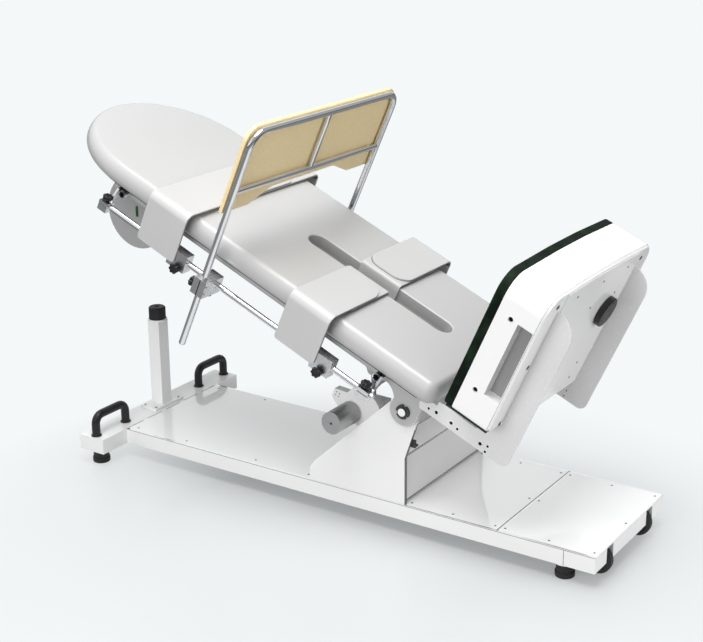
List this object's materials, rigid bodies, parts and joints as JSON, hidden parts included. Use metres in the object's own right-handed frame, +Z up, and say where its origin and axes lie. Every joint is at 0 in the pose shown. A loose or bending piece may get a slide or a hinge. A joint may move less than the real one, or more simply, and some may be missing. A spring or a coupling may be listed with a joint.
{
  "type": "pediatric tilt table",
  "caption": "Low wheeled platform with a motor-tilted padded bed, side rails, sliding body straps, a raised tray frame and a deep padded footboard for children's standing therapy.",
  "frame": {"origin": "on the floor, under the middle of the whole table's outline at the pictured tilt", "axes": "+X from the head end to the foot end, +Y to the far side in the picture, +Z up"},
  "size_m": [1.9895, 0.823, 1.2639],
  "materials": {
    "beige_board": "satin",
    "black_board": "matte",
    "black_plastic": "satin",
    "black_rubber": "matte",
    "chrome": "polished",
    "coated_fabric": "satin",
    "green_rubber": "matte",
    "grey_paint": "satin",
    "motor_grey": "satin",
    "steel": "satin",
    "white_board": "gloss",
    "white_paint": "gloss",
    "white_strap": "satin"
  },
  "bodies": {
    "platform": {"base_frame": "white_paint", "deck_panel_head": "white_paint", "deck_panel_foot": "white_paint", "foot_head_near": "black_rubber", "foot_head_far": "black_rubber", "foot_end_near": "black_rubber", "foot_end_far": "black_rubber", "post": "white_paint", "post_cap": "black_rubber", "carry_handle_near": "black_plastic", "carry_handle_far": "black_plastic", "pedestal_cheek_near": "white_paint", "pedestal_cheek_far": "white_paint", "pedestal_front_cover": "white_paint", "pivot_pin_near": "steel", "pivot_pin_far": "steel", "gear_stand": "white_paint"},
    "left_wheel": {"wheel_near": "black_rubber"},
    "right_wheel": {"wheel_far": "black_rubber"},
    "bed": {"bed_side_frame_near": "white_paint", "bed_side_frame_far": "white_paint", "rail_tube_head": "white_paint", "rail_tube_foot": "white_paint", "bed_board": "black_board", "mattress": "coated_fabric", "side_rail_near": "chrome", "side_rail_far": "chrome", "rail_clamp_head_near": "white_paint", "rail_clamp_head_far": "white_paint", "rail_clamp_foot_near": "white_paint", "rail_clamp_foot_far": "white_paint", "head_discs": "grey_paint", "footboard_pad": "green_rubber", "footboard_shell": "white_board", "footboard_cap": "black_plastic", "ear_plate_near": "white_paint", "ear_plate_far": "white_paint"},
    "lift_gear": {"gear_motor": "motor_grey"},
    "lift_rod": {"lift_screw": "steel"},
    "chest_band": {"chest_strap": "white_strap", "chest_clamp_near": "grey_paint", "chest_clamp_far": "grey_paint"},
    "knee_band_near": {"knee_strap_near": "white_strap", "knee_clamp_near": "grey_paint"},
    "knee_band_far": {"knee_strap_far": "white_strap", "knee_clamp_far": "grey_paint"},
    "tray_clamps": {"tray_clamp_near": "white_paint", "tray_clamp_far": "white_paint"},
    "tray": {"tray_frame": "chrome", "tray_board": "beige_board"},
    "knob_rail_head_near_body": {"knob_rail_head_near": "black_plastic"},
    "knob_rail_foot_near_body": {"knob_rail_foot_near": "black_plastic"},
    "knob_chest_near_body": {"knob_chest_near": "black_plastic"},
    "knob_knee_near_body": {"knob_knee_near": "black_plastic"},
    "knob_tray_near_body": {"knob_tray_near": "black_plastic"},
    "knob_rail_head_far_body": {"knob_rail_head_far": "black_plastic"},
    "knob_rail_foot_far_body": {"knob_rail_foot_far": "black_plastic"},
    "knob_chest_far_body": {"knob_chest_far": "black_plastic"},
    "knob_knee_far_body": {"knob_knee_far": "black_plastic"},
    "knob_tray_far_body": {"knob_tray_far": "black_plastic"}
  },
  "joints": [
    {"name": "bed_tilt", "type": "hinge", "parent": "platform", "child": "bed", "pos_m": [0.3492, 0, 0.4183], "axis": [0, 1, 0], "range_deg": [-24, 61]},
    {"name": "lift_gear_swing", "type": "hinge", "parent": "platform", "child": "lift_gear", "pos_m": [0.17967, -0.165, 0.35693], "axis": [0, 1, 0], "range_deg": [-12, 30.5]},
    {"name": "lift_screw_swing", "type": "hinge", "parent": "bed", "child": "lift_rod", "pos_m": [0.18462, -0.165, 0.49192], "axis": [0, 1, 0], "range_deg": [-30.5, 12]},
    {"name": "wheel_near_roll", "type": "hinge", "parent": "platform", "child": "left_wheel", "pos_m": [0.9477, -0.145, 0.0473], "axis": [0, 1, 0], "continuous": true},
    {"name": "wheel_far_roll", "type": "hinge", "parent": "platform", "child": "right_wheel", "pos_m": [0.9477, 0.145, 0.0473], "axis": [0, 1, 0], "continuous": true},
    {"name": "chest_band_slide", "type": "slide", "parent": "bed", "child": "chest_band", "axis": [0.9135, 0, -0.4067], "range_m": [-0.12, 0.02]},
    {"name": "knee_band_slide_near", "type": "slide", "parent": "bed", "child": "knee_band_near", "axis": [0.9135, 0, -0.4067], "range_m": [-0.14, 0.07]},
    {"name": "knee_band_slide_far", "type": "slide", "parent": "bed", "child": "knee_band_far", "axis": [0.9135, 0, -0.4067], "range_m": [-0.14, 0.07]},
    {"name": "tray_slide", "type": "slide", "parent": "bed", "child": "tray_clamps", "axis": [0.9135, 0, -0.4067], "range_m": [-0.045, 0.25]},
    {"name": "tray_lift", "type": "slide", "parent": "tray_clamps", "child": "tray", "axis": [0.4067, 0, 0.9135], "range_m": [-0.1, 0.14]},
    {"name": "knob_rail_head_near_turn", "type": "hinge", "parent": "bed", "child": "knob_rail_head_near_body", "pos_m": [-0.72493, -0.34, 0.94502], "axis": [0.4067, 0, 0.9135], "range_deg": [0, 360]},
    {"name": "knob_rail_foot_near_turn", "type": "hinge", "parent": "bed", "child": "knob_rail_foot_near_body", "pos_m": [0.26353, -0.34, 0.50493], "axis": [0.4067, 0, 0.9135], "range_deg": [0, 360]},
    {"name": "knob_chest_near_turn", "type": "hinge", "parent": "chest_band", "child": "knob_chest_near_body", "pos_m": [-0.43295, -0.356, 0.76982], "axis": [0, -1, 0], "range_deg": [0, 360]},
    {"name": "knob_knee_near_turn", "type": "hinge", "parent": "knee_band_near", "child": "knob_knee_near_body", "pos_m": [0.10696, -0.356, 0.52944], "axis": [0, -1, 0], "range_deg": [0, 360]},
    {"name": "knob_tray_near_turn", "type": "hinge", "parent": "tray_clamps", "child": "knob_tray_near_body", "pos_m": [-0.32606, -0.3925, 0.74631], "axis": [-0.9135, 0, 0.4067], "range_deg": [0, 360]},
    {"name": "knob_rail_head_far_turn", "type": "hinge", "parent": "bed", "child": "knob_rail_head_far_body", "pos_m": [-0.72493, 0.34, 0.94502], "axis": [0.4067, 0, 0.9135], "range_deg": [0, 360]},
    {"name": "knob_rail_foot_far_turn", "type": "hinge", "parent": "bed", "child": "knob_rail_foot_far_body", "pos_m": [0.26353, 0.34, 0.50493], "axis": [0.4067, 0, 0.9135], "range_deg": [0, 360]},
    {"name": "knob_chest_far_turn", "type": "hinge", "parent": "chest_band", "child": "knob_chest_far_body", "pos_m": [-0.43295, 0.356, 0.76982], "axis": [0, 1, 0], "range_deg": [0, 360]},
    {"name": "knob_knee_far_turn", "type": "hinge", "parent": "knee_band_far", "child": "knob_knee_far_body", "pos_m": [0.10696, 0.356, 0.52944], "axis": [0, 1, 0], "range_deg": [0, 360]},
    {"name": "knob_tray_far_turn", "type": "hinge", "parent": "tray_clamps", "child": "knob_tray_far_body", "pos_m": [-0.32606, 0.3925, 0.74631], "axis": [-0.9135, 0, 0.4067], "range_deg": [0, 360]}
  ],
  "couplings": [
    {"joint": "lift_gear_swing", "follows": "bed_tilt", "ratio": 0.5},
    {"joint": "lift_screw_swing", "follows": "bed_tilt", "ratio": -0.5}
  ]
}
